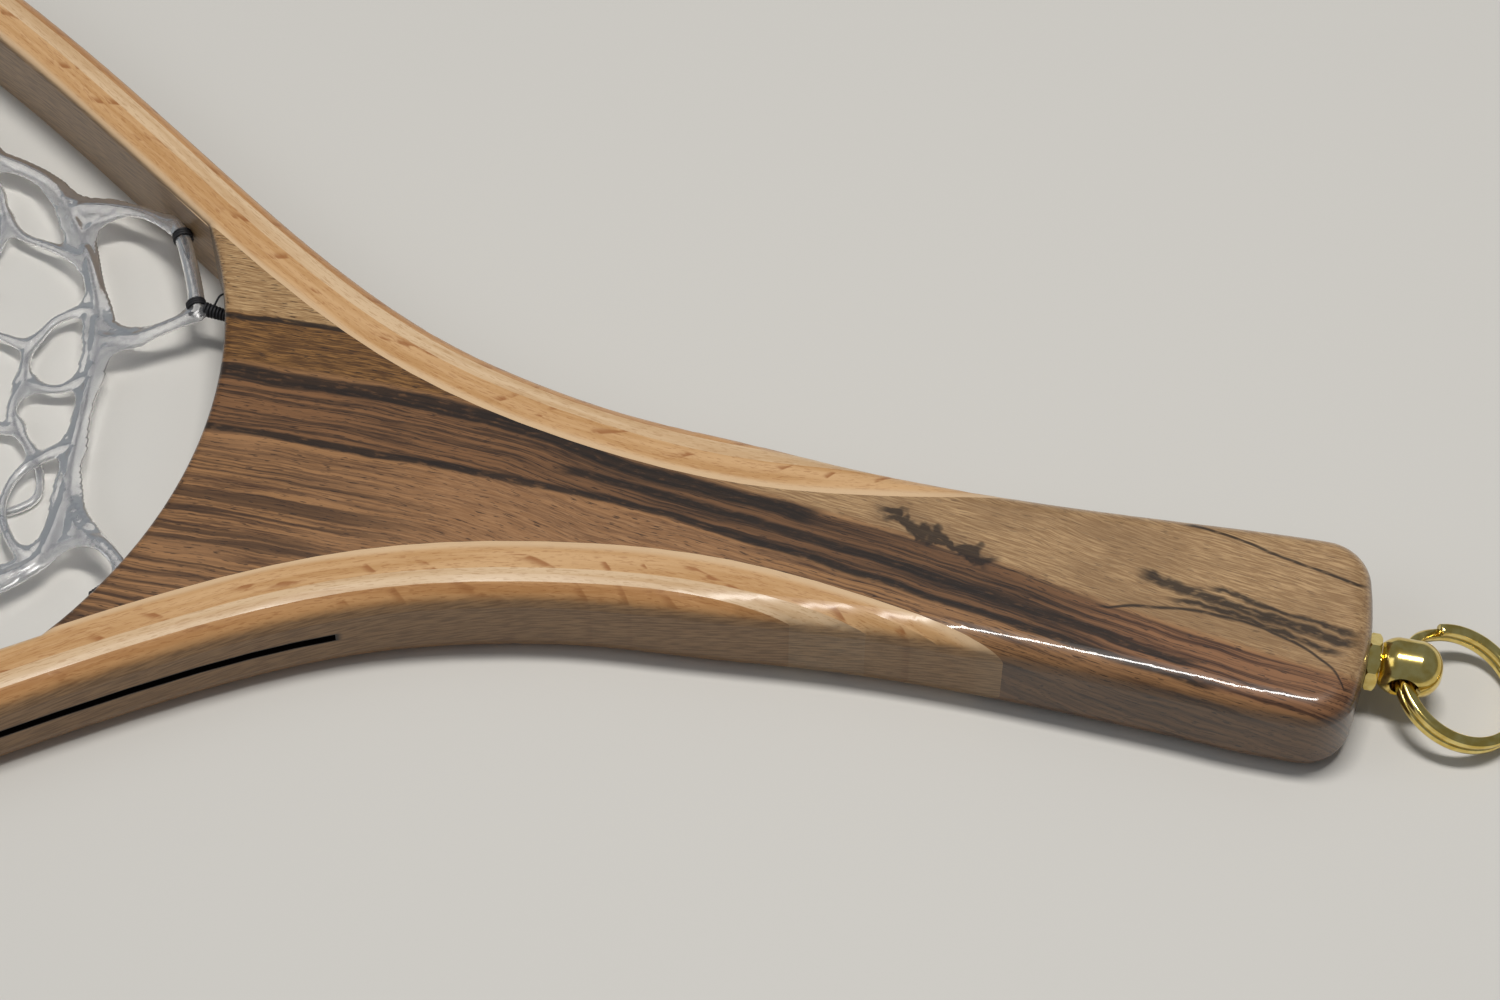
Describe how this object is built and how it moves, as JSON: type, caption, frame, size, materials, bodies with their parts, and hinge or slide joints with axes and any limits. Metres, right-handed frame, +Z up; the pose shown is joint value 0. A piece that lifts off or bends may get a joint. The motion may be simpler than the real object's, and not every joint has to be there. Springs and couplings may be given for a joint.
{
  "type": "fishing landing net",
  "caption": "Trout landing net with a laminated wooden hoop, one-piece handle, collapsed clear rubber bag and a swivelling split ring.",
  "frame": {"origin": "centre of the whole net's footprint, on the surface that it lies on", "axes": "+X along the handle towards its butt and ring, +Y across the hoop, +Z up through the hoop's thickness"},
  "size_m": [0.6308, 0.276, 0.019],
  "materials": {
    "walnut": "gloss lacquer over dark streaked grain",
    "pale_ply": "gloss lacquer",
    "orange_ply": "gloss lacquer",
    "black_thread": "waxed braided thread",
    "clear_rubber": "milky translucent moulded rubber",
    "brass": "polished"
  },
  "bodies": {
    "net_frame": {"handle_core": "walnut", "inner_ply": "pale_ply", "second_ply": "orange_ply", "third_ply": "pale_ply", "outer_ply": "orange_ply", "lacing_cord": "black_thread", "net_lashings": "black_thread", "bag_web": "clear_rubber", "bag_rim": "clear_rubber", "bag_lugs": "clear_rubber", "swivel_stud": "brass"},
    "swivel": {"swivel_barrel": "brass"},
    "ring": {"split_ring": "brass"}
  },
  "joints": [
    {"name": "swivel_spin", "type": "hinge", "parent": "net_frame", "child": "swivel", "pos_m": [0.29214, 0, 0.0095], "axis": [1, 0, 0], "continuous": true},
    {"name": "ring_swing", "type": "hinge", "parent": "swivel", "child": "ring", "pos_m": [0.29214, 0, 0.0095], "axis": [0, 1, 0], "range_deg": [-131, 93]}
  ]
}
